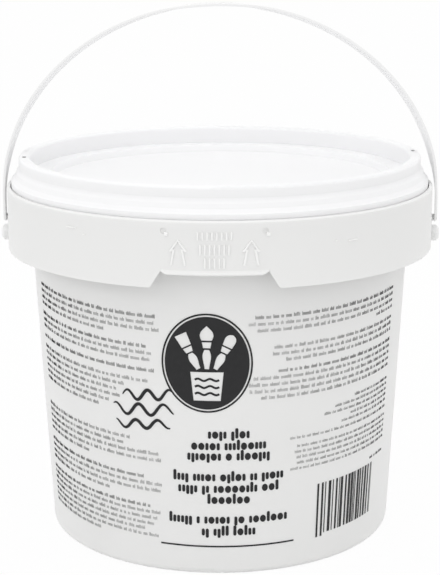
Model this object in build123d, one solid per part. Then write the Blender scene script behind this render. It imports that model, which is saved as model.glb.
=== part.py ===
from build123d import *
from math import degrees, radians, sqrt, tan
import os

# Brush-washing pail with a lid, a bail handle and a wire screen, in millimetres.
# +Z is up, the origin is the centre of the base, the break-away tab faces -Y
# and the handle turns about a line parallel to X.

# Pail wall and floor
base_radius = 83.3          # outside of the wall, where it meets the ground
wall_draft = 2.95           # degrees that each side leans outwards
pail_wall = 1.6
floor_thickness = 1.8
floor_recess = 2.0          # height of the floor's underside above the ground
foot_width = 4.0
base_corner = 3.5           # outside rounding at the foot
floor_corner = 4.0          # inside bevel round the floor

# Rim that carries the lid
rim_height = 179.3
rim_step = 2.75             # how far the rim stands out of the wall at the web
rim_wall = 1.7
bead_drop = 4.6             # from the rim's top to the middle of its snap bead
bead_depth = 0.9
bead_width = 2.6

# Collar round the rim, with its web and gussets
web_drop = 17.5             # from the rim's top to the top of the web
web_thickness = 1.8
collar_gap = 6.1            # between the rim and the inside of the collar
collar_wall = 1.6
collar_rise = 6.5           # how far the collar stands above the web
collar_depth = 29.7
collar_edge = 0.7           # bevel along the top edge
gusset_count = 24
gusset_thickness = 1.3
gusset_depth = 14.0         # along the wall, below the web
gusset_rise = 6.0           # how much higher it ends at the collar

# Break-away tab: a notch in the collar's lower edge with a rolled lip
tab_width = 46.4
tab_rise = 7.7              # from the collar's lower edge to the top of the notch
tab_flare = 4.8             # how far the notch widens down to the collar's edge
lip_drop = 1.55             # how far the lip hangs into the notch
lip_lap = 0.6               # how far it reaches up over the collar
lip_taper = 2.8             # length of each slanted end
lip_depth = 0.9             # how far the lip stands out of the collar
score_width = 0.7
score_depth = 0.5
dimple_radius = 1.4
dimple_depth = 0.5
dimple_drop = 4.5           # below the collar's top edge
dimple_spread = 21.9        # from the middle of the tab, along the collar

# Lid
lid_wall = 1.5
lid_clearance = 0.3         # between the lid and the rim it slides over
collar_clearance = 0.5      # between the lid's skirt and the collar
skirt_depth = 3.8           # how far the skirt reaches down inside the collar
flare_rise = 2.0            # from the collar's top to where the skirt steps in
flare_height = 4.7
flare_edge = 0.55
cove_width = 0.7            # the steep hollow at the top of the flare
cove_height = 2.1
waist_step = 0.4            # how much the lid thickens down to the flare
ridge_drop = 5.0            # from the lid's top to the thin ridge round it
ridge_height = 1.0
ridge_depth = 0.5
channel_round = 1.4
ledge_drop = 8.6            # from the lid's top to the stacking ledge
ledge_width = 8.8
panel_drop = 3.2            # from the ledge to the flat middle
panel_inset = 1.4           # how far the step to the middle leans inwards
plug_lead = 1.0             # bevel that leads the lid's plug into the rim
vent_angle = 3.0            # degrees that the two vents in the rim lie in front of the lid's sides
lid_turn = 6.75             # degrees that the lid is turned on the pail
vent_width = 2.0
vent_length = 4.6
vent_depth = 1.0

# Seal in the lid's channel
gasket_thickness = 1.3
gasket_clearance = 0.1      # to the walls of the channel and to the pail's rim

# Bail handle
pivot_lift = 4.4            # from the collar's lower edge to the pivot
strap_width = 12.0
strap_thickness = 1.3
strap_edge = 0.3            # bevel along its edges
strap_gap = 1.85            # between the strap and the collar
strap_end = 6.6             # from the pivot to the lower end of the strap
strap_corner = 0.9          # bevel at the outside of its lower end
arch_base = 16.0            # from the pivot to where the straight sides become the arch
arch_rise = 93.5
crank_thickness = 2.0
neck_width = 7.0
hub_radius = 3.9
hub_stand = 3.9             # how far the hub stands out of the collar
hub_edge = 1.1
pin_radius = 2.4
pin_clearance = 0.05
seat_clearance = 0.3        # between the moving handle and its seat in the collar
barb_depth = 0.6
barb_length = 2.6

# Screen that stands on the floor: a hoop with two layers of wires, on strip legs
screen_clearance = 0.9      # between the legs and the bevel round the floor
screen_height = 30.0        # top of the hoop above the floor
hoop_width = 6.0
hoop_thickness = 1.0
mesh_wire = 1.6             # diameter
mesh_count = 11             # wires in each layer
mesh_edge = 15.0            # from the outermost wires to the hoop
weld_gap = 0.02             # between pieces of the screen that are welded together
leg_count = 3
leg_width = 12.0
leg_thickness = 1.0
leg_foot = 12.0
leg_bend = 1.0              # inside radius

overshoot = 1.0             # how far a cut or a joined solid runs past the face it meets

# Heights that follow
web_top = rim_height - web_drop
web_bottom = web_top - web_thickness
collar_top = web_top + collar_rise
collar_bottom = collar_top - collar_depth
tab_bottom = collar_bottom + tab_rise
pivot_height = collar_bottom + pivot_lift
arch_spring = pivot_height + arch_base
lid_top = rim_height + gasket_clearance + gasket_thickness + lid_wall
channel_top = lid_top - lid_wall
ledge_height = lid_top - ledge_drop
floor_top = floor_recess + floor_thickness

# Radii that follow
slope = tan(radians(wall_draft))
rim_radius = base_radius + web_bottom * slope + rim_step
rim_inner = rim_radius - rim_wall
bead_radius = rim_radius + bead_depth
collar_inner = rim_radius + collar_gap
collar_radius = collar_inner + collar_wall
inner_floor = base_radius + floor_top * slope - pail_wall
strap_inner = collar_radius + strap_gap
strap_outer = strap_inner + strap_thickness
neck_inner = collar_radius - crank_thickness + seat_clearance
seat_face = neck_inner - seat_clearance
seat_radius = sqrt((strap_end + crank_thickness) ** 2 + (neck_width / 2) ** 2) + seat_clearance
hole_radius = pin_radius + pin_clearance
leg_outer = inner_floor - floor_corner - screen_clearance
hoop_outer = leg_outer - leg_thickness - weld_gap
hoop_inner = hoop_outer - hoop_thickness


def wall_radius(height):
    """Outside radius of the tapered wall."""
    return base_radius + height * slope


def turned(points, angle=360):
    """Solid of revolution about Z from (radius, height, rounding) corners."""
    corners = [(r, z) for r, z, _ in points]
    outline = FilletPolyline(*corners, radius=[rounding for *_, rounding in points], close=True)
    profile = Plane.XZ * make_face(outline.edges())
    return revolve(profile, Axis.Z, angle)


def rod(radius, x_start, x_end, y=0.0, z=0.0):
    """Round bar parallel to X."""
    middle = Location(((x_start + x_end) / 2, y, z), (0, 90, 0))
    return middle * Cylinder(radius, abs(x_end - x_start))


def block(x_range, y_range, z_range):
    """Box from three (low, high) ranges."""
    size = [high - low for low, high in (x_range, y_range, z_range)]
    centre = [(low + high) / 2 for low, high in (x_range, y_range, z_range)]
    return Location(tuple(centre)) * Box(*size)


def both_sides(shape):
    """The shape and its mirror image on the other side of the YZ plane."""
    return shape + mirror(shape, Plane.YZ)


# ---------------------------------------------------------------- pail


def pail_shell():
    """Wall, floor, rim, web and collar as one turned profile."""
    inner_foot = base_radius - base_corner - foot_width
    stack_step = rim_inner - (wall_radius(web_bottom) - pail_wall)
    step_top = web_top + rim_wall
    step_bottom = step_top - stack_step
    bead_height = rim_height - bead_drop
    return turned([
        (0, floor_recess, 0),
        (inner_foot, floor_recess, 0),
        (inner_foot, 0, 0),
        (wall_radius(0), 0, base_corner),
        (wall_radius(web_bottom), web_bottom, 0),
        (collar_inner, web_bottom, 0),
        (collar_inner, collar_bottom, 0),
        (collar_radius, collar_bottom, 0),
        (collar_radius, collar_top - collar_edge, 0),
        (collar_radius - collar_edge, collar_top, 0),
        (collar_inner, collar_top, 0),
        (collar_inner, web_top, 0),
        (rim_radius, web_top, 0),
        (rim_radius, bead_height - bead_width / 2, 0),
        (bead_radius, bead_height, 0),
        (rim_radius, bead_height + bead_width / 2, 0),
        (rim_radius, rim_height, 0),
        (rim_inner, rim_height, 0),
        (rim_inner, step_top, 0),
        (wall_radius(step_bottom) - pail_wall, step_bottom, 0),
        (inner_floor + floor_corner * slope, floor_top + floor_corner, 0),
        (inner_floor - floor_corner, floor_top, 0),
        (0, floor_top, 0),
    ])


def gussets():
    """Radial ribs under the web, clear of the pivots and left out behind the tab."""
    step = 360 / gusset_count
    gusset_bottom = web_bottom - gusset_depth
    inner = wall_radius(gusset_bottom) - pail_wall / 2
    outer = collar_inner + collar_wall / 2
    top = web_bottom + web_thickness / 2
    outline = Polyline(
        (inner, gusset_bottom), (outer, gusset_bottom + gusset_rise), (outer, top), (inner, top), close=True)
    rib = extrude(Plane.XZ * make_face(outline.edges()), gusset_thickness / 2, both=True)
    turns = [step * (i + 0.5) for i in range(gusset_count)]
    return [Rot(Z=turn - 90) * rib for turn in turns if min(turn, 360 - turn) > tab_half_angle()]


def ear_seat_skin():
    """Wall of the round seat that the handle's hub turns in, on the +X side."""
    skin = rod(seat_radius + collar_wall, seat_face - collar_wall, collar_radius, z=pivot_height)
    middle = (collar_bottom + web_bottom) / 2
    return skin & (Location((0, 0, middle)) * Cylinder(collar_radius, web_bottom - collar_bottom))


def ear_seat_cut():
    """Space of the seat and the pin's hole, on the +X side."""
    seat = rod(seat_radius, seat_face, 2 * collar_radius, z=pivot_height)
    hole = rod(hole_radius, seat_face - 2 * collar_wall, seat_face + overshoot, z=pivot_height)
    return seat + hole


def along_collar(distance):
    """Angle in degrees for a distance along the outside of the collar."""
    return degrees(distance / collar_radius)


def tab_half_angle():
    return along_collar(tab_width / 2 + tab_flare)


def tab_notch():
    """Notch in the collar's lower edge at the front."""
    half = tab_width / 2
    outline = Polyline(
        (-half - tab_flare, collar_bottom - overshoot),
        (-half - tab_flare, collar_bottom),
        (-half, tab_bottom),
        (half, tab_bottom),
        (half + tab_flare, collar_bottom),
        (half + tab_flare, collar_bottom - overshoot),
        close=True,
    )
    return extrude(Plane.XZ.offset(rim_radius) * make_face(outline.edges()), collar_radius)


def tab_lip():
    """Rolled lip along the lower edge of the tab."""
    sweep_angle = 2 * along_collar(tab_width)
    root = collar_radius - collar_wall / 2
    low, high = tab_bottom - lip_drop, tab_bottom + lip_lap
    roll = turned([
        (root, low, 0),
        (collar_radius + lip_depth / 2, low, 0),
        (collar_radius + lip_depth, low + lip_depth / 2, 0),
        (collar_radius + lip_depth, high - lip_depth - lip_depth / 2, 0),
        (collar_radius, high, 0),
        (root, high, 0),
    ], sweep_angle)
    half = tab_width / 2
    outline = Polyline(
        (-half, high + overshoot),
        (-half, tab_bottom),
        (lip_taper - half, low),
        (half - lip_taper, low),
        (half, tab_bottom),
        (half, high + overshoot),
        close=True,
    )
    window = extrude(Plane.XZ.offset(rim_radius) * make_face(outline.edges()), collar_radius)
    return (Rot(Z=-90 - sweep_angle / 2) * roll) & window


def tab_scores():
    """Thinned lines inside the collar where the tab tears away, and a dimple at the top of each."""
    dimple_height = collar_top - dimple_drop
    cuts = []
    for side in (-1, 1):
        turn = Rot(Z=-90 + side * along_collar(dimple_spread))
        groove = block(
            (collar_inner - overshoot, collar_inner + score_depth),
            (-score_width / 2, score_width / 2),
            (tab_bottom - overshoot, web_bottom),
        )
        dimple = rod(dimple_radius, collar_radius - dimple_depth, collar_radius + overshoot, z=dimple_height)
        cuts += [turn * groove, turn * dimple]
    return cuts


def bucket_body():
    body = pail_shell() + gussets() + [ear_seat_skin(), mirror(ear_seat_skin(), Plane.YZ)]
    body -= both_sides(ear_seat_cut())
    body -= tab_notch()
    body += tab_lip()
    return body - tab_scores()


# ---------------------------------------------------------------- lid


def lid():
    """Channel over the rim, skirt inside the collar, ledge and sunk panel."""
    skirt_top_outer = rim_radius + lid_clearance + lid_wall
    bead_inner = bead_radius + lid_clearance
    waist_outer = bead_inner + lid_wall + waist_step
    flare_outer = collar_inner - collar_clearance
    flare_bottom = collar_top + flare_rise
    skirt_bottom = collar_top - skirt_depth
    plug_outer = rim_inner - lid_clearance
    plug_inner = plug_outer - lid_wall
    bead_clear = rim_height - bead_drop + bead_width / 2 + lid_clearance
    ridge_top = lid_top - ridge_drop
    ledge_radius = plug_inner - ledge_width
    panel_radius = ledge_radius - panel_inset
    panel_height = ledge_height - panel_drop
    shell = turned([
        (0, panel_height - lid_wall, 0),
        (panel_radius + lid_wall, panel_height - lid_wall, 0),
        (ledge_radius + lid_wall, ledge_height - lid_wall, 0),
        (plug_outer - plug_lead, ledge_height - lid_wall, 0),
        (plug_outer, ledge_height - lid_wall + plug_lead, 0),
        (plug_outer, channel_top, 0),
        (rim_radius + lid_clearance, channel_top, 0),
        (rim_radius + lid_clearance, bead_clear + bead_depth, 0),
        (bead_inner, bead_clear, 0),
        (bead_inner, flare_bottom + lid_wall / 2, 0),
        (flare_outer - lid_wall, flare_bottom - lid_wall, 0),
        (flare_outer - lid_wall, skirt_bottom, 0),
        (flare_outer, skirt_bottom, 0),
        (flare_outer, flare_bottom + flare_edge, 0),
        (flare_outer - flare_edge, flare_bottom + 2 * flare_edge, 0),
        (waist_outer + cove_width, flare_bottom + flare_height - cove_height, 0),
        (waist_outer, flare_bottom + flare_height, 0),
        (skirt_top_outer + ridge_depth, ridge_top - ridge_height, 0),
        (skirt_top_outer, ridge_top, 0),
        (skirt_top_outer, lid_top, channel_round),
        (plug_inner, lid_top, channel_round),
        (plug_inner, ledge_height, 0),
        (ledge_radius, ledge_height, 0),
        (panel_radius, panel_height, 0),
        (0, panel_height, 0),
    ])
    middle = (plug_inner + skirt_top_outer) / 2
    slot = extrude(Rot(Z=90) * SlotOverall(vent_length, vent_width), vent_depth, both=True)
    for turn in (lid_turn - vent_angle, 180 + lid_turn + vent_angle):
        shell -= Rot(Z=turn) * Location((middle, 0, lid_top)) * slot
    return shell


def lid_gasket():
    """Flat seal between the top of the channel and the pail's rim."""
    inner = rim_inner - lid_clearance + gasket_clearance
    outer = rim_radius + lid_clearance - gasket_clearance
    return turned([
        (inner, channel_top - gasket_thickness, 0),
        (outer, channel_top - gasket_thickness, 0),
        (outer, channel_top, 0),
        (inner, channel_top, 0),
    ])


# ---------------------------------------------------------------- handle


def strap():
    """Flat strap with bevelled edges, bent up one side, over an elliptical arch and down the other."""
    bottom = pivot_height + strap_end
    middle = (strap_inner + strap_outer) / 2
    with BuildLine(Plane.XZ) as path:
        Line((middle, bottom), (middle, arch_spring))
        EllipticalCenterArc((0, arch_spring), middle, arch_rise, start_angle=0, arc_size=180)
        Line((-middle, arch_spring), (-middle, bottom))
    section = Rectangle(strap_thickness, strap_width)
    section = chamfer(section.vertices(), strap_edge)
    band = sweep(Location((middle, 0, bottom)) * section, path.line)
    side = strap_corner * sqrt(2)
    corner = Location((strap_outer, 0, bottom), (0, 45, 0)) * Box(side, strap_width + overshoot, side)
    return band - both_sides(corner)


def crank():
    """Neck in the seat, its step out to the strap, hub and snap pin, on the +X side."""
    half = neck_width / 2
    neck_outer = neck_inner + crank_thickness
    top = pivot_height + strap_end + crank_thickness
    neck = block((neck_inner, neck_outer), (-half, half), (pivot_height, top))
    step = block((neck_inner, strap_outer - strap_corner), (-half, half), (top - crank_thickness, top))
    hub = rod(hub_radius, neck_inner, collar_radius + hub_stand, z=pivot_height)
    hub = chamfer(hub.edges().sort_by(Axis.X)[-1], hub_edge)
    barb_face = seat_face - collar_wall - seat_clearance
    pin = rod(pin_radius, barb_face - overshoot, neck_inner + overshoot, z=pivot_height)
    barb = Location((barb_face - barb_length / 2, 0, pivot_height), (0, -90, 0)) * Cone(
        pin_radius + barb_depth, pin_radius - barb_depth, barb_length)
    return neck + step + hub + pin + barb


def handle_bail():
    return strap() + both_sides(crank())


# ---------------------------------------------------------------- screen


def screen_hoop():
    """Flat strip bent into a ring, on edge."""
    top = floor_top + screen_height
    return turned([
        (hoop_inner, top - hoop_width, 0),
        (hoop_outer, top - hoop_width, 0),
        (hoop_outer, top, 0),
        (hoop_inner, top, 0),
    ])


def mesh_wires(height):
    """Parallel wires along X inside the hoop."""
    first = mesh_edge - hoop_inner
    pitch = -2 * first / (mesh_count - 1)
    wires = []
    for i in range(mesh_count):
        middle = first + i * pitch
        half = sqrt((hoop_inner - weld_gap) ** 2 - (abs(middle) + mesh_wire / 2) ** 2)
        wires.append(rod(mesh_wire / 2, -half, half, y=middle, z=height))
    return wires


def mesh_levels():
    """Heights of the two layers of wires, which cross in the middle of the hoop."""
    middle = floor_top + screen_height - hoop_width / 2
    half = (mesh_wire + weld_gap) / 2
    return middle - half, middle + half


def screen_leg(index):
    """Strip welded outside the hoop, with its foot bent inwards along the floor."""
    inner = leg_outer - leg_thickness
    top = floor_top + screen_height
    sweep_angle = degrees(leg_width / leg_outer)
    leg = turned([
        (inner, top, 0),
        (leg_outer, top, 0),
        (leg_outer, floor_top, leg_bend + leg_thickness),
        (leg_outer - leg_foot, floor_top, 0),
        (leg_outer - leg_foot, floor_top + leg_thickness, 0),
        (inner, floor_top + leg_thickness, leg_bend),
    ], sweep_angle)
    return Rot(Z=90 + index * 360 / leg_count - sweep_angle / 2) * leg


# ---------------------------------------------------------------- output


def pieces():
    """Every node by name."""
    long_level, cross_level = mesh_levels()
    nodes = {
        "bucket_body": bucket_body(),
        "lid": lid(),
        "lid_gasket": lid_gasket(),
        "handle_bail": handle_bail(),
        "screen_hoop": screen_hoop(),
    }
    for number, wire in enumerate(mesh_wires(long_level), start=1):
        nodes[f"screen_long_{number:02d}"] = wire
    for number, wire in enumerate(mesh_wires(cross_level), start=1):
        nodes[f"screen_cross_{number:02d}"] = Rot(Z=90) * wire
    for number in range(1, leg_count + 1):
        nodes[f"screen_leg_{number}"] = screen_leg(number - 1)
    return nodes


os.makedirs("parts", exist_ok=True)
for name, shape in pieces().items():
    export_step(shape, f"parts/{name}.step")
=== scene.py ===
import bmesh
import bpy
import random
from math import atan2, cos, degrees, hypot, pi, radians, sin, sqrt
from mathutils import Matrix, Vector

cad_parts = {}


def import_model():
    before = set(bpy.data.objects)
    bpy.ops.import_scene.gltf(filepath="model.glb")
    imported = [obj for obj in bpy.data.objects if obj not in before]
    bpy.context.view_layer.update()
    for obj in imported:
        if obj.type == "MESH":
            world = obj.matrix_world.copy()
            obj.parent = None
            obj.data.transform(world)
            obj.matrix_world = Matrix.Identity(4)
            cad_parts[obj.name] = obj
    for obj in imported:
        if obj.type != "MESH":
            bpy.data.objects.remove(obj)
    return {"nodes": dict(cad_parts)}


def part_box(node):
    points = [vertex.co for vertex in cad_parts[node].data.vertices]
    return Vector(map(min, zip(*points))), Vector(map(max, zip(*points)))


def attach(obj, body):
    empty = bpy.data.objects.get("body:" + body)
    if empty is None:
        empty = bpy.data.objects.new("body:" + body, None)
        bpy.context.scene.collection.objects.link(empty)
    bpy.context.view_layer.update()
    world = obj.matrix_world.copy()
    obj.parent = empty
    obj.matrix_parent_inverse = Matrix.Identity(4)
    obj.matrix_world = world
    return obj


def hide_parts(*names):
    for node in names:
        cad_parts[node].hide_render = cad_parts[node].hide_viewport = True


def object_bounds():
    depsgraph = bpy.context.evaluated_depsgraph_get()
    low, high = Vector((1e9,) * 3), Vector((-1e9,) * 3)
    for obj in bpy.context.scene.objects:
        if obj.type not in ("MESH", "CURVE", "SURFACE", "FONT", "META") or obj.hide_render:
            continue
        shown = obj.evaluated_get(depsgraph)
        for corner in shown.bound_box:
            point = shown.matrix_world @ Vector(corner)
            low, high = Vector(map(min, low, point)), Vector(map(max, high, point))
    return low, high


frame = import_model()
cad_low, cad_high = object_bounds()

# Metres throughout, in the row frame: +Z up, the tab of the pail faces -Y.
MM = 0.001

# Camera, fitted to the ellipses of the lid, collar and base
CAMERA_DISTANCE = 0.7691
CAMERA_HEIGHT = 0.2999
CAMERA_PITCH = radians(13.503)
CAMERA_TURN = radians(1.3)      # round the pail towards +X
CAMERA_ROLL = radians(-0.129)
LENS = 100.9                    # mm, on the sensor below
SENSOR = 36.0

# Light and floor: an almost even world, one lamp above and a weak one at the front left
WORLD_STRENGTH = 0.93
LAMPS = (                       # name, place, size in metres, watts
    ("top_softbox", (0, -0.4, 1.7), 1.4, 3.5),
    ("side_softbox", (-1.0, -0.9, 0.9), 0.35, 0.9),
)
LAMP_AIM = (0, 0, 0.1)
FLOOR_SIZE = 12                 # metres
FLOOR_SEEN_WHITE = 0.95         # the rest of what is seen of the floor is its own shading

# Printed marks
INK_HEIGHT = 0.06 * MM          # how far they stand out of the wall
INK_ROOT = 0.08 * MM            # and reach into it
FACET = 2.5 * MM                # widest piece of a mark before it is bent again
PRINT_LOW, PRINT_HIGH = 12 * MM, 125 * MM
PRINT_MIDDLE = 3.6              # degrees round the pail

# Raised marks on the tab and the collar
COLLAR_MIDDLE = 155 * MM
EMBOSS_HEIGHT = 0.5 * MM
EMBOSS_ROOT = 0.5 * MM
RIDGE_WIDTH = 1.15 * MM
RIDGE_CREST = 0.45              # flat share of a ridge's width


# ---------------------------------------- the wall and collar, measured on the CAD nodes


def radius_at(height):
    """Outside radius of the pail at a height: the furthest of many hits round the front half of
    the CAD node."""
    far = 2 * cad_high.x
    hits = []
    for angle in range(-175, -5):
        out = Vector((cos(radians(angle)), sin(radians(angle)), 0))
        start = out * far + Vector((0, 0, height))
        _, place, _, _ = frame["nodes"]["bucket_body"].ray_cast(start, -out)
        hits.append(hypot(place.x, place.y))
    return max(hits)


WALL_LOW, WALL_HIGH = radius_at(PRINT_LOW), radius_at(PRINT_HIGH)
WALL_SLOPE = (WALL_HIGH - WALL_LOW) / (PRINT_HIGH - PRINT_LOW)
COLLAR_RADIUS = radius_at(COLLAR_MIDDLE)


def wall_radius(height):
    return WALL_LOW + (height - PRINT_LOW) * WALL_SLOPE


def collar_radius(_height):
    """The collar is upright, so its radius is the same at every height."""
    return COLLAR_RADIUS


def print_rise(angle):
    """How far the straight rows of a flat print climb, once it is rolled round the wall's cone."""
    across = WALL_LOW * radians(angle - PRINT_MIDDLE)
    return across ** 2 * WALL_SLOPE / (2 * WALL_LOW)


def on_round(radius, angle, depth, height):
    """Point at an angle from the front (degrees, positive to the right) on a round wall."""
    r = radius(height) + depth
    a = radians(angle)
    return Vector((r * sin(a), -r * cos(a), height))


# ---------------------------------------- node materials


def new_material(name, colour, roughness):
    """Principled material and its node tree, with plain values on the shader's own sockets."""
    material = bpy.data.materials.new(name)
    material.use_nodes = True
    tree = material.node_tree
    shader = tree.nodes["Principled BSDF"]
    shader.inputs["Base Color"].default_value = (*colour, 1)
    shader.inputs["Roughness"].default_value = roughness
    return material, tree, shader


def noise(tree, scale, detail=2.0, stretch=(1, 1, 1)):
    """Noise in object space, in features per metre."""
    place = tree.nodes.new("ShaderNodeTexCoord")
    mapping = tree.nodes.new("ShaderNodeMapping")
    mapping.inputs["Scale"].default_value = stretch
    texture = tree.nodes.new("ShaderNodeTexNoise")
    texture.inputs["Scale"].default_value = scale
    texture.inputs["Detail"].default_value = detail
    tree.links.new(place.outputs["Object"], mapping.inputs["Vector"])
    tree.links.new(mapping.outputs["Vector"], texture.inputs["Vector"])
    return texture.outputs["Fac"]


def span(tree, value, low, high):
    """A 0 to 1 value spread from low to high."""
    node = tree.nodes.new("ShaderNodeMapRange")
    node.inputs["To Min"].default_value = low
    node.inputs["To Max"].default_value = high
    tree.links.new(value, node.inputs["Value"])
    return node.outputs["Result"]


def blend_colours(tree, value, first, second):
    """Colour between two by a 0 to 1 value."""
    node = tree.nodes.new("ShaderNodeMix")
    node.data_type = "RGBA"
    node.inputs["A"].default_value = (*first, 1)
    node.inputs["B"].default_value = (*second, 1)
    tree.links.new(value, node.inputs["Factor"])
    return node.outputs["Result"]


def bump(tree, value, strength, distance, under=None):
    """Normal of a relief as deep as the distance, on top of another normal if there is one."""
    node = tree.nodes.new("ShaderNodeBump")
    node.inputs["Strength"].default_value = strength
    node.inputs["Distance"].default_value = distance
    tree.links.new(value, node.inputs["Height"])
    if under:
        tree.links.new(under, node.inputs["Normal"])
    return node.outputs["Normal"]


ROUGHNESS_SWING = 0.07          # how far patches of moulded plastic are rougher or smoother
RIPPLE_DEPTH = 1.2 * MM
GRAIN_DEPTH = 0.05 * MM
GLOW_SPREAD = 1.5 * MM          # how far light gets inside the plastic


def moulded_plastic(name, colour, shade, roughness, ripple=0.25, grain=0.2, glow=0.5):
    """White polyethylene: soft gloss, slow waves of a thin wall and a fine grain. The glow is the
    share of light that goes inside it."""
    material, tree, shader = new_material(name, colour, roughness)
    clouds = noise(tree, 14, detail=3)
    tree.links.new(blend_colours(tree, clouds, colour, shade), shader.inputs["Base Color"])
    patches = noise(tree, 55, detail=4)
    low, high = roughness - ROUGHNESS_SWING, roughness + ROUGHNESS_SWING
    tree.links.new(span(tree, patches, low, high), shader.inputs["Roughness"])
    waves = noise(tree, 22, detail=1.5, stretch=(1, 1, 0.5))
    fine = noise(tree, 900, detail=3)
    slow = bump(tree, waves, ripple, RIPPLE_DEPTH)
    tree.links.new(bump(tree, fine, grain, GRAIN_DEPTH, under=slow), shader.inputs["Normal"])
    shader.inputs["IOR"].default_value = 1.5
    shader.inputs["Specular IOR Level"].default_value = 0.4
    shader.inputs["Subsurface Weight"].default_value = glow
    shader.inputs["Subsurface Radius"].default_value = (1.0, 1.0, 1.0)
    shader.inputs["Subsurface Scale"].default_value = GLOW_SPREAD
    return material


def screen_ink():
    """Screen-printed ink, a little uneven."""
    colour = (0.012, 0.012, 0.013)
    material, tree, shader = new_material("print_ink", colour, 0.42)
    patches = noise(tree, 400, detail=3)
    paler = tuple(c * 1.7 for c in colour)
    shader.inputs["Specular IOR Level"].default_value = 0.3
    tree.links.new(blend_colours(tree, patches, colour, paler), shader.inputs["Base Color"])
    tree.links.new(bump(tree, noise(tree, 2500), 0.15, 0.02 * MM), shader.inputs["Normal"])
    return material


def foam(name, colour, shade):
    """Foamed or felted soft plastic with open cells, for the seal and for the dark plugs of painted
    shade in the vents.
    """
    material, tree, shader = new_material(name, colour, 0.8)
    cells = noise(tree, 1500, detail=5)
    tree.links.new(blend_colours(tree, cells, colour, shade), shader.inputs["Base Color"])
    tree.links.new(bump(tree, cells, 0.5, 0.1 * MM), shader.inputs["Normal"])
    return material


def zinc_wire():
    """Plated steel wire and strip with drawing marks."""
    material, tree, shader = new_material("zinc_wire", (0.62, 0.63, 0.65), 0.34)
    shader.inputs["Metallic"].default_value = 1.0
    spangle = noise(tree, 260, detail=4)
    zinc = blend_colours(tree, spangle, (0.66, 0.67, 0.69), (0.48, 0.49, 0.51))
    tree.links.new(zinc, shader.inputs["Base Color"])
    tree.links.new(span(tree, noise(tree, 700), 0.26, 0.46), shader.inputs["Roughness"])
    tree.links.new(bump(tree, noise(tree, 1800), 0.2, 0.03 * MM), shader.inputs["Normal"])
    return material


PAIL = moulded_plastic("pail_plastic", (0.855, 0.855, 0.848), (0.845, 0.845, 0.838), 0.42)
# Paler copy of the pail's plastic, without glow, for the raised arrows, ribs and marks: painted
# highlight, so that the ridges look lit against the wall.
RAISED_HIGHLIGHT = moulded_plastic(
    "pail_plastic_raised_highlight", (0.945, 0.945, 0.938), (0.935, 0.935, 0.928), 0.42, ripple=0, glow=0)
LID = moulded_plastic("lid_plastic", (0.95, 0.95, 0.962), (0.94, 0.94, 0.952), 0.38)
HANDLE = moulded_plastic(
    "handle_plastic", (0.89, 0.89, 0.89), (0.88, 0.88, 0.88), 0.42, ripple=0, grain=0, glow=0)
SEAL = foam("seal_rubber", (0.62, 0.62, 0.6), (0.5, 0.5, 0.48))
# Dark foam for the plugs in the lid's vent slots: painted shade standing in for the dark inside of
# the slots.
VENT_SHADE = foam("vent_painted_shade", (0.26, 0.26, 0.26), (0.18, 0.18, 0.18))
WIRE = zinc_wire()
INK = screen_ink()


def dress_cad_nodes():
    """Gives each CAD node its finished material. The nodes that aren't named are the screen's."""
    finishes = {"bucket_body": PAIL, "lid": LID, "handle_bail": HANDLE, "lid_gasket": SEAL}
    for node, piece in frame["nodes"].items():
        piece.data.materials.clear()
        piece.data.materials.append(finishes.get(node, WIRE))


# ---------------------------------------- marks on round walls


def flat_shape(loops):
    """Filled mesh of closed 2D loops (across, up), holes included."""
    flat = bmesh.new()
    edges = []
    for loop in loops:
        corners = [flat.verts.new((x, 0, z)) for x, z in loop]
        edges += [flat.edges.new((corners[i - 1], corner)) for i, corner in enumerate(corners)]
    bmesh.ops.triangle_fill(flat, edges=edges, use_beauty=True, normal=(0, -1, 0))
    return flat


def slice_flat(flat):
    """Cuts a flat mesh by upright lines so that it can bend round a wall."""
    across = [v.co.x for v in flat.verts]
    first = int(min(across) / FACET) - 1
    last = int(max(across) / FACET) + 1
    for i in range(first, last + 1):
        everything = flat.verts[:] + flat.edges[:] + flat.faces[:]
        cut = (i * FACET, 0, 0)
        bmesh.ops.bisect_plane(flat, geom=everything, plane_co=cut, plane_no=(1, 0, 0))


def thicken(flat):
    """Turns the flat mesh into a plate from the ink's root to its height, as depth in +Y."""
    faces = flat.faces[:]
    for vertex in flat.verts:
        vertex.co.y = -INK_ROOT
    grown = bmesh.ops.extrude_face_region(flat, geom=faces, use_keep_orig=True)
    for item in grown["geom"]:
        if isinstance(item, bmesh.types.BMVert):
            item.co.y = INK_HEIGHT


def wrap(flat, radius, angle, height, rise=None):
    """Bends the flat mesh round a wall, its zero at an angle and height."""
    for vertex in flat.verts:
        x, depth, z = vertex.co
        turn = angle + degrees(x / radius(height + z))
        climb = rise(turn) if rise else 0.0
        vertex.co = on_round(radius, turn, depth, height + z + climb)
    bmesh.ops.recalc_face_normals(flat, faces=flat.faces[:])


def place_piece(name, mesh, material, body="bucket"):
    """Object of a mesh, with its material, on its body."""
    mesh.materials.append(material)
    piece = bpy.data.objects.new(name, mesh)
    bpy.context.scene.collection.objects.link(piece)
    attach(piece, body)
    return piece


def mesh_piece(name, flat, material, body="bucket"):
    """Piece of a bmesh, which is freed."""
    mesh = bpy.data.meshes.new(name)
    flat.to_mesh(mesh)
    flat.free()
    return place_piece(name, mesh, material, body)


def mark(loops, angle, height):
    """Printed plate of 2D loops bent round the pail's wall, as a bmesh."""
    flat = flat_shape(loops)
    slice_flat(flat)
    thicken(flat)
    wrap(flat, wall_radius, angle, height, rise=print_rise)
    return flat


def join_marks(marks):
    """One bmesh of several, which are freed."""
    whole = bmesh.new()
    for part in marks:
        mesh = bpy.data.meshes.new("part")
        part.to_mesh(mesh)
        part.free()
        whole.from_mesh(mesh)
        bpy.data.meshes.remove(mesh)
    return whole


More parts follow.
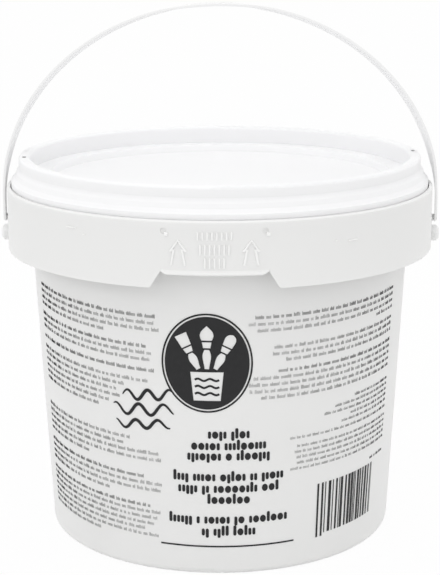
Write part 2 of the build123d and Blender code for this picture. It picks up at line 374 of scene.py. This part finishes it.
def oval(across, up, count=96):
    return [(across * cos(2 * pi * i / count), up * sin(2 * pi * i / count)) for i in range(count)]


def in_mm(points):
    return [(x * MM, z * MM) for x, z in points]


def rectangle(width, low, high):
    return [(-width / 2, low), (width / 2, low), (width / 2, high), (-width / 2, high)]


def turned_loop(loop, angle, x, z):
    """Loop turned by an angle in degrees and moved."""
    c, s = cos(radians(angle)), sin(radians(angle))
    return [(x + px * c - pz * s, z + px * s + pz * c) for px, pz in loop]


# ---------------------------------------- print: brushes, emblem, lines and bars


def mirrored(points):
    """Closed loop from the upper half of a shape that is the same on both sides of the X axis."""
    return points + [(x, -z) for x, z in reversed(points)]


def brush_loops(length, width, tip):
    """Paint brush lying along +X from its handle's end. The tip is "point", "flat" or "round"."""
    sleeve, hair = 0.17 * length, 0.36 * length
    gap = 0.035 * length
    neck = length - sleeve - hair
    steps = 12
    handle = []
    for i in range(steps + 1):
        t = i / steps
        handle.append((t * (neck - gap), width * (0.17 + 0.15 * sin(pi * t ** 1.6))))
    ferrule = [(neck, 0.27 * width), (neck + sleeve - gap, 0.36 * width)]
    bristles = []
    for i in range(steps + 1):
        t = i / steps
        if tip == "flat":
            half = 0.38 + 0.1 * t
        elif tip == "round":
            half = 0.38 + 0.1 * t if t < 0.5 else 0.43 * sqrt(max(0.0, 1 - ((t - 0.5) / 0.5) ** 2))
        else:
            half = (0.38 + 0.22 * sin(pi * t * 0.8)) * (1 - t ** 2.4)
        bristles.append((neck + sleeve + t * (hair - gap), width * max(half, 0.015)))
    return [mirrored(handle), mirrored(ferrule), mirrored(bristles)]


def lozenge(width, low, high, x):
    """Upright dab with rounded ends."""
    steps = 6
    half = width / 2
    bend = min(half, (high - low) / 2)
    turns = [pi * i / steps for i in range(steps + 1)]
    top = [(x + half * cos(a), high - bend + bend * sin(a)) for a in turns]
    base = [(x - half * cos(a), low + bend - bend * sin(a)) for a in turns]
    return top + base


def dab_word(draw, length, size):
    """Row of bold dabs as long as a word: low, tall and hanging bars and round dots."""
    bar, dot, gap = 0.4 * size, 0.8 * size, 0.13 * size
    loops, at = [], 0.0
    while at + bar < length:
        kind = draw.choice(("bar", "bar", "tall", "dot", "dot", "hanging"))
        if kind == "dot" and at + dot > length:
            kind = "bar"
        if kind == "dot":
            ring = oval(dot / 2, size / 2, count=20)
            loops.append([(at + dot / 2 + px, pz) for px, pz in ring])
            at += dot + gap
        else:
            high = size * (0.95 if kind == "tall" else 0.5)
            low = -size * (0.8 if kind == "hanging" else 0.5)
            loops.append(lozenge(bar, low, high, at + bar / 2))
            at += bar + gap
    return loops, at - gap


def title_line(draw, words, centre, height, size):
    """One row of dab words, centred at an angle."""
    space = 0.62 * size
    placed, at = [], 0.0
    for length in words:
        loops, used = dab_word(draw, length, size)
        placed += [[(x + at, z) for x, z in loop] for loop in loops]
        at += used + space
    shift = (at - space) / 2
    return mark([[(x - shift, z) for x, z in loop] for loop in placed], centre, height)


TITLE_MIDDLE = 3.8              # degrees
TITLE_SIZE = 3.45 * MM
TITLE_ROWS = (                  # height and the lengths of the words, in mm
    (68.4, (9.0, 10.0)),
    (62.9, (13.0, 20.5)),
    (57.9, (16.0, 3.0, 16.0)),
    (47.9, (8.5, 10.5, 12.0, 4.0, 10.5)),
    (42.3, (10.0, 4.6, 21.0, 8.0)),
    (36.9, (21.0,)),
    (27.2, (11.5, 2.6, 12.5, 4.6, 19.5)),
    (21.3, (4.4, 8.0, 10.5)),
)


def title_block():
    """Three blocks of bold rows down the front."""
    draw = random.Random(21)
    marks = []
    for height, words in TITLE_ROWS:
        lengths = [word * MM for word in words]
        marks.append(title_line(draw, lengths, TITLE_MIDDLE, height * MM, TITLE_SIZE))
    return mesh_piece("print_title_rows", join_marks(marks), INK)


def wave_line(start, end, level, swell, turns, thickness):
    """Wavy stroke between two places across, at a level."""
    count = 40
    points = []
    for i in range(count + 1):
        t = i / count
        points.append((start + t * (end - start), level + swell * sin(2 * pi * turns * t)))
    return stroke(points, [thickness] * len(points))


# The badge, in mm round its own middle
BADGE_PLACE = (-2.5, 102.0 * MM)        # degrees, metres
BADGE_RINGS = ((20.4, 23.0), (19.6, 22.2), (18.9, 21.5))
BADGE_JAR = ((-7.4, -4.0), (7.4, -4.0), (6.0, -17.4), (-6.0, -17.4))
BADGE_WATER = (-7.6, -10.9, -14.2)
BADGE_BRUSHES = (               # lean (degrees), foot, length, tip
    (-27, -3.7, 18.2, "flat"), (0, 0.0, 20.6, "point"), (27, 3.7, 18.2, "round"),
)
BRUSH_WIDTH, BRUSH_FOOT = 6.0 * MM, -2.6 * MM


def emblem():
    """Black oval badge: bare brushes over a bare jar of water."""
    loops = [oval(across * MM, up * MM) for across, up in BADGE_RINGS]
    loops.append(in_mm(BADGE_JAR))
    for level in BADGE_WATER:
        loops.append(wave_line(-5.4 * MM, 5.4 * MM, level * MM, 0.5 * MM, 2, 0.95 * MM))
    for lean, foot, reach, tip in BADGE_BRUSHES:
        for loop in brush_loops(reach * MM, BRUSH_WIDTH, tip):
            loops.append(turned_loop(loop, 90 - lean, foot * MM, BRUSH_FOOT))
    return mesh_piece("print_emblem", mark(loops, *BADGE_PLACE), INK)


def stroke(points, widths):
    """Loop round a line of points with a width at each."""
    left, right = [], []
    for i, (x, z) in enumerate(points):
        before, after = points[max(0, i - 1)], points[min(len(points) - 1, i + 1)]
        dx, dz = after[0] - before[0], after[1] - before[1]
        size = hypot(dx, dz)
        nx, nz = -dz / size * widths[i] / 2, dx / size * widths[i] / 2
        left.append((x + nx, z + nz))
        right.append((x - nx, z - nz))
    return left + right[::-1]


WATER_STROKES = (               # angle (degrees), height, length and swell, in mm
    (-20.4, 85.2, 25.5, 2.3), (-22.3, 77.9, 30.0, 2.6), (-22.5, 70.9, 27.0, 2.0),
)


def water_strokes():
    """Three hand-drawn waves beside the badge, thin at their ends."""
    marks = []
    for row, (angle, height, length, swell) in enumerate(WATER_STROKES):
        count = 48
        points, widths = [], []
        for i in range(count + 1):
            t = i / count
            wave = swell * MM * sin(2 * pi * (2.5 * t + 0.15 * row))
            points.append(((t - 0.5) * length * MM, wave + 3 * MM * (t - 0.5)))
            widths.append((0.3 + 0.7 * sin(pi * t) ** 0.6) * 1.6 * MM)
        marks.append(mark([stroke(points, widths)], angle, height * MM))
    return mesh_piece("print_water_strokes", join_marks(marks), INK)


def rule():
    """Thin plain line below the titles."""
    length, thick = 62.0 * MM, 0.75 * MM
    line = rectangle(length, -thick / 2, thick / 2)
    return mesh_piece("print_rule", mark([line], PRINT_MIDDLE, 14.2 * MM), INK)


BARS_START, BARS_END = 32.7, 58.2       # degrees
BARS_LOW, BARS_HIGH = 14.4 * MM, 39.6 * MM
BARS_UNIT = 0.5 * MM
LONGER_BARS, LONGER_BY = 2, 1.4 * MM    # the first ones reach further down


def bars():
    """Block of upright bars of uneven widths, with no figures."""
    draw = random.Random(11)
    radius = wall_radius((BARS_LOW + BARS_HIGH) / 2)
    across, total = 0.0, radians(BARS_END - BARS_START) * radius
    marks = []
    while across < total:
        width = min(draw.choice((1, 1, 2, 2, 3)) * BARS_UNIT, total - across)
        low = BARS_LOW - LONGER_BY if len(marks) < LONGER_BARS else BARS_LOW
        angle = BARS_START + degrees((across + width / 2) / radius)
        marks.append(mark([rectangle(width, low, BARS_HIGH)], angle, 0.0))
        across += width + draw.choice((1, 2, 2, 3)) * BARS_UNIT
    return mesh_piece("print_bars", join_marks(marks), INK)


TICK_PITCH = 0.36               # share of the print's size
TICK_WIDTH, BOLD_WIDTH = 0.19, 0.31     # shares of the pitch
FINE_SIZE, FINE_WIDTH = 1.2 * MM, 0.75  # below this size, ticks are this much of their width
TALL_SHARE = 0.25               # of the ticks reach higher than the others
WORD_GAP = 0.75                 # share of the print's size


def ticks_line(draw, vertices, faces, start, end, height, size, bold):
    """Row of fine upright ticks in word-like groups, growing from one angle to another."""
    radius = wall_radius(height)
    pitch = TICK_PITCH * size
    width = pitch * (BOLD_WIDTH if bold else TICK_WIDTH)
    if size < FINE_SIZE:
        width *= FINE_WIDTH
    way = 1 if end > start else -1
    at, total = 0.0, radians(abs(end - start)) * radius
    while at < total:
        for _ in range(draw.randint(3, 11)):
            tall = draw.random() < TALL_SHARE
            low = height - size * 0.5
            high = height + size * (0.9 if tall else 0.5)
            middle = start + way * degrees(at / radius)
            half = degrees(width / 2 / radius)
            add_tick(vertices, faces, middle, half, low, high)
            at += pitch
        at += WORD_GAP * size


BOX_FACES = ((3, 2, 1, 0), (4, 5, 6, 7), (0, 1, 5, 4), (1, 2, 6, 5), (2, 3, 7, 6), (3, 0, 4, 7))


def add_tick(vertices, faces, middle, half, low, high):
    """Adds one tick, a thin box on the wall."""
    first = len(vertices)
    left, right = middle - half, middle + half
    for depth in (-INK_ROOT, INK_HEIGHT):
        for angle, z in ((left, low), (right, low), (right, high), (left, high)):
            vertices.append(on_round(wall_radius, angle, depth, z + print_rise(angle)))
    for face in BOX_FACES:
        faces.append([first + corner for corner in face])


def text_column(name, seed, edge, paragraphs):
    """Column of greeked small print: rows of ticks from its outer edge inwards, and no letters."""
    draw = random.Random(seed)
    vertices, faces = [], []
    for top, pitch, size, bold, ends in paragraphs:
        for row, end in enumerate(ends):
            height = (top - row * pitch) * MM
            ticks_line(draw, vertices, faces, edge, end, height, size * MM, bold and row == 0)
    mesh = bpy.data.meshes.new(name)
    mesh.from_pydata(vertices, [], faces)
    return place_piece(name, mesh, INK)


# Paragraphs: height of the first row, pitch of the rows and size, in mm, whether the first row is
# bold, and the angle where each row ends
LEFT_EDGE = -68.0
LEFT_PARAGRAPHS = (
    (122.0, 3.05, 1.25, True, (-20, -18.5, -17.5, -35)),
    (107.9, 3.05, 1.25, True, (-21, -19.5, -20)),
    (96.8, 3.05, 1.25, True, (-18.5,)),
    (91.7, 3.05, 1.25, False, (-19.6, -29, -31, -32, -34.5, -38.5)),
    (63.4, 3.05, 1.25, False, (-26.8, -30, -17.8, -17.5, -46)),
    (45.6, 3.05, 1.25, True, (-24, -18.8, -20, -36.5)),
    (31.5, 2.86, 1.2, True, (-21.3, -19.8, -19.9, -19.2, -23.6, -20.6, -41.5)),
)
RIGHT_EDGE = 65.0
RIGHT_PARAGRAPHS = (
    (122.6, 3.05, 1.25, True, (10.5, 10, 11.5, 55)),
    (108.4, 3.05, 1.25, False, (17, 16.5, 21)),
    (97.3, 3.05, 1.25, True, (18.5, 12, 11.5, 10.5, 14.5)),
    (78.4, 2.7, 1.05, False, (46, 40, 36, 45, 42)),
    (64.4, 2.7, 1.05, False, (22,)),
    (60.2, 2.7, 1.05, False, (25.5, 24.5, 25.5, 26, 25)),
    (42.4, 2.7, 1.05, False, (57.5,)),
)


def small_print():
    text_column("print_left_column", 11, LEFT_EDGE, LEFT_PARAGRAPHS)
    text_column("print_right_column", 12, RIGHT_EDGE, RIGHT_PARAGRAPHS)


# ---------------------------------------- raised marks on the tab and the collar


def ridge(points, width, rise):
    """Ridge along a line of (across, up) points, with sloping sides and depth in +Y, as a bmesh."""
    flat = bmesh.new()
    foot, crest = width / 2, RIDGE_CREST * width / 2
    section = ((-foot, -EMBOSS_ROOT), (-crest, rise), (crest, rise), (foot, -EMBOSS_ROOT))
    rows = []
    for i, (x, z) in enumerate(points):
        before, after = points[max(0, i - 1)], points[min(len(points) - 1, i + 1)]
        dx, dz = after[0] - before[0], after[1] - before[1]
        size = hypot(dx, dz)
        nx, nz = -dz / size, dx / size
        rows.append([flat.verts.new((x + nx * side, depth, z + nz * side))
                     for side, depth in section])
    for first, second in zip(rows, rows[1:]):
        for i in range(4):
            flat.faces.new((first[i - 1], first[i], second[i], second[i - 1]))
    flat.faces.new(rows[0])
    flat.faces.new(rows[-1][::-1])
    return flat


def raised(name, lines, angle, height, width=RIDGE_WIDTH, rise=EMBOSS_HEIGHT):
    """Ridges on the collar along lines of (across, up) points, as one piece in the paler plastic of
    painted highlight.
    """
    marks = []
    for line in lines:
        flat = ridge(line, width, rise)
        wrap(flat, collar_radius, angle, height)
        marks.append(flat)
    return mesh_piece(name, join_marks(marks), RAISED_HIGHLIGHT)


SIDES = ((-1, "left"), (1, "right"))

# Arrows in mm round the middle of their foot, and how far they are from the tab's middle
ARROW = ((-3.0, 0.0), (-1.75, 7.0), (-3.4, 5.9), (0, 10.7), (3.4, 5.9), (1.75, 7.0), (3.0, 0.0))
ARROW_OUT, ARROW_FOOT, ARROW_LINE = 15.7 * MM, 149.1 * MM, 1.4 * MM
# Grip ribs: lower and upper end in mm and their number, for each row
GRIP_ROWS = ((160.2, 163.6, 8), (153.7, 158.2, 7), (147.9, 152.4, 5))
GRIP_SPACING = 2.05
# Pale pips at the lower right of the two dimples: painted highlight where the dimples' lower sides
# catch the light
HIGHLIGHT_PIP_OUT, HIGHLIGHT_PIP_RIGHT, HIGHLIGHT_PIP_HEIGHT = 12.3, 0.65, 162.3 * MM     # degrees, degrees, metres
COLLAR_MARKS = (                # angle and height in mm of the dash, then of the pip
    ("left", -38.2, 161.3, -34.1, 159.0), ("right", 35.8, 156.6, 30.8, 157.2),
)


def short_line(length):
    return in_mm([(-length / 2, 0.0), (length / 2, 0.0)])


def tab_marks():
    """Two upright arrows in outline, three rows of grip ribs between them, and the pale pips of
    painted highlight beside the dimples.
    """
    for side, name in SIDES:
        angle = side * degrees(ARROW_OUT / COLLAR_RADIUS)
        raised(f"tab_arrow_{name}", [in_mm(ARROW)], angle, ARROW_FOOT, ARROW_LINE)
    lines = []
    for low, high, count in GRIP_ROWS:
        for i in range(count):
            x = (i - (count - 1) / 2) * GRIP_SPACING
            lines.append(in_mm([(x, low), (x, high)]))
    raised("tab_grip_ribs", lines, 0.0, 0.0)
    for side, name in SIDES:
        angle = side * HIGHLIGHT_PIP_OUT + HIGHLIGHT_PIP_RIGHT
        raised(f"tab_highlight_pip_{name}", [short_line(1.5)], angle, HIGHLIGHT_PIP_HEIGHT, 2.1 * MM, 0.4 * MM)


def collar_marks():
    """Faint moulding marks either side of the tab: a short dash and a pip."""
    width = 0.9 * MM
    for name, dash_angle, dash_height, pip_angle, pip_height in COLLAR_MARKS:
        dash, pip = short_line(5.2), short_line(1.0)
        raised(f"collar_dash_{name}", [dash], dash_angle, dash_height * MM, width, 0.4 * MM)
        raised(f"collar_pip_{name}", [pip], pip_angle, pip_height * MM, width, 0.25 * MM)


# ---------------------------------------- the handle's strap

# The strap in part.py: half the width of its arch, to the strap's middle, where the arch springs,
# its rise, and the inside and the lower end of the straight sides
ARCH_HALF, ARCH_SPRING, ARCH_RISE = 104.495 * MM, 159 * MM, 93.5 * MM
SIDE_INSIDE, SIDE_END = 103.8 * MM, 149.5 * MM
# Place on the arch, in degrees from the right, and how far the front edge is turned outwards there
STRAP_TURNS = (
    (0, -6.8), (5, -5.0), (12, 4.5), (20, 8.0), (30, 9.5), (60, 9.7), (70, 9.4),
    (79, 7.0), (85, 1.1), (90, 0), (96, 0), (106, 6.0), (115, 7.4), (130, 7.7),
    (140, 8.3), (150, 6.8), (160, 3.8), (168, 1.5), (175, -5.0), (180, -6.8),
)
SHARP_EDGE = radians(25)


def strap_turn(place):
    """Turn at a place from 0 to 180, read between two entries of the table."""
    for (start, first), (end, last) in zip(STRAP_TURNS, STRAP_TURNS[1:]):
        if place <= end:
            return first + (last - first) * (place - start) / (end - start)


def strap_point(point):
    """Place of a point of the CAD handle once the strap is turned about its own line."""
    x, y, z = point
    if z < ARCH_SPRING and (abs(x) < SIDE_INSIDE or z < SIDE_END):
        return point
    across, up = x / ARCH_HALF, max(0.0, (z - ARCH_SPRING) / ARCH_RISE)
    place = degrees(atan2(up, across))
    turn = radians(strap_turn(place))
    out = Vector((across / ARCH_HALF, 0, up / ARCH_RISE))
    out.normalize()
    reach = hypot(across, up)
    depth = (reach - 1) * hypot(ARCH_HALF * across, ARCH_RISE * up) / reach
    middle = Vector((x, 0, z)) - depth * out
    turned = middle + (depth * cos(turn) - y * sin(turn)) * out
    turned.y = y * cos(turn) + depth * sin(turn)
    return turned


def turned_handle():
    """The handle with its springy strap turned a little, in place of the CAD handle."""
    whole = bmesh.new()
    whole.from_mesh(frame["nodes"]["handle_bail"].data)
    bmesh.ops.remove_doubles(whole, verts=whole.verts, dist=0.001 * MM)
    for vertex in whole.verts:
        vertex.co = strap_point(vertex.co)
    piece = mesh_piece("handle_strap", whole, HANDLE, body="handle")
    piece.data.shade_smooth()
    piece.data.set_sharp_from_angle(angle=SHARP_EDGE)
    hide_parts("handle_bail")


# ---------------------------------------- vents in the lid


VENTS = (("right", 3.75), ("left", 189.75))     # degrees round the lid from +X
VENT_RADIUS = 93.45 * MM
VENT_LENGTH, VENT_WIDTH = 4.5 * MM, 1.9 * MM
VENT_FOOT, VENT_CROWN = 0.5 * MM, 0.25 * MM     # below the rim's top, and how high the plug is


def vent_outline():
    """Slot shape of the plug, a straight middle with round ends."""
    count = 12
    half, straight = VENT_WIDTH / 2, (VENT_LENGTH - VENT_WIDTH) / 2
    outline = []
    for end in (1, -1):
        for i in range(count + 1):
            a = pi * i / count
            outline.append((end * half * cos(a), end * (straight + half * sin(a))))
    return outline


def vent_shade_plugs():
    """Dark grey plug with a foamy surface at the bottom of each slot in the lid's rim: painted
    shade, so that the shallow slot looks deep.
    """
    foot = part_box("lid")[1][2] - VENT_FOOT
    for name, turn in VENTS:
        plug = bmesh.new()
        ring = [plug.verts.new((x, y, 0)) for x, y in vent_outline()]
        crown = [plug.verts.new((x * 0.7, y * 0.8, VENT_CROWN)) for x, y in vent_outline()]
        for i in range(len(ring)):
            plug.faces.new((ring[i - 1], ring[i], crown[i], crown[i - 1]))
        plug.faces.new(crown)
        plug.faces.new(ring[::-1])
        out = Matrix.Translation((VENT_RADIUS, 0, foot))
        place = Matrix.Rotation(radians(turn), 4, "Z") @ out
        bmesh.ops.transform(plug, matrix=place, verts=plug.verts)
        mesh_piece(f"vent_shade_plug_{name}", plug, VENT_SHADE, body="lid")


# ---------------------------------------- floor, light and camera


def seen_directly(tree):
    """1 where the camera, a mirror or glass looks at a surface, and 0 for the light it gives."""
    path = tree.nodes.new("ShaderNodeLightPath")
    seen = path.outputs["Is Camera Ray"]
    for ray in ("Is Glossy Ray", "Is Transmission Ray"):
        either = tree.nodes.new("ShaderNodeMath")
        either.operation = "MAXIMUM"
        tree.links.new(seen, either.inputs[0])
        tree.links.new(path.outputs[ray], either.inputs[1])
        seen = either.outputs["Value"]
    return seen


def mix_shaders(tree, share, first, second, output):
    """Sends a mix of two shaders to an output node."""
    mix = tree.nodes.new("ShaderNodeMixShader")
    tree.links.new(share, mix.inputs["Fac"])
    tree.links.new(first, mix.inputs[1])
    tree.links.new(second, mix.inputs[2])
    tree.links.new(mix.outputs["Shader"], tree.nodes[output].inputs["Surface"])


def floor():
    """Floor that looks mostly white, with part of the object's shadow."""
    bpy.ops.mesh.primitive_plane_add(size=FLOOR_SIZE)
    plane = bpy.context.object
    plane.name = "floor"
    material, tree, shader = new_material("floor_white", (0.9, 0.9, 0.9), 0.9)
    shader.inputs["Specular IOR Level"].default_value = 0.0
    share = tree.nodes.new("ShaderNodeMath")
    share.operation = "MULTIPLY"
    share.inputs[1].default_value = FLOOR_SEEN_WHITE
    tree.links.new(seen_directly(tree), share.inputs[0])
    white = tree.nodes.new("ShaderNodeEmission").outputs["Emission"]
    mix_shaders(tree, share.outputs["Value"], shader.outputs["BSDF"], white, "Material Output")
    plane.data.materials.append(material)


def world():
    """Soft even light, and a white backdrop for the camera, mirrors and glass."""
    surroundings = bpy.data.worlds.new("studio")
    bpy.context.scene.world = surroundings
    surroundings.use_nodes = True
    tree = surroundings.node_tree
    light = tree.nodes["Background"]
    light.inputs["Color"].default_value = (1, 1, 1, 1)
    light.inputs["Strength"].default_value = WORLD_STRENGTH
    backdrop = tree.nodes.new("ShaderNodeBackground")
    backdrop.inputs["Color"].default_value = (1, 1, 1, 1)
    even, white = light.outputs["Background"], backdrop.outputs["Background"]
    mix_shaders(tree, seen_directly(tree), even, white, "World Output")


def softbox(name, place, size, power):
    """Square area lamp that faces the pail."""
    data = bpy.data.lights.new(name, "AREA")
    data.shape = "SQUARE"
    data.size = size
    data.energy = power
    lamp = bpy.data.objects.new(name, data)
    lamp.location = place
    aim = Vector(LAMP_AIM) - Vector(place)
    lamp.rotation_mode = "QUATERNION"
    lamp.rotation_quaternion = aim.to_track_quat("-Z", "Y")
    bpy.context.scene.collection.objects.link(lamp)


def lights():
    for lamp in LAMPS:
        softbox(*lamp)


def camera():
    data = bpy.data.cameras.new("camera")
    data.lens = LENS
    data.sensor_width = SENSOR
    view = bpy.data.objects.new("camera", data)
    bpy.context.scene.collection.objects.link(view)
    turn = Matrix.Rotation(CAMERA_TURN, 4, "Z")
    place = turn @ Vector((0, -CAMERA_DISTANCE, CAMERA_HEIGHT))
    tilt = Matrix.Rotation(pi / 2 - CAMERA_PITCH, 4, "X")
    roll = Matrix.Rotation(CAMERA_ROLL, 4, "Z")
    view.matrix_world = Matrix.Translation(place) @ turn @ tilt @ roll
    bpy.context.scene.camera = view


dress_cad_nodes()
emblem()
title_block()
water_strokes()
rule()
bars()
small_print()
tab_marks()
collar_marks()
turned_handle()
vent_shade_plugs()
floor()
world()
lights()
camera()
bpy.context.scene.view_settings.view_transform = "Standard"
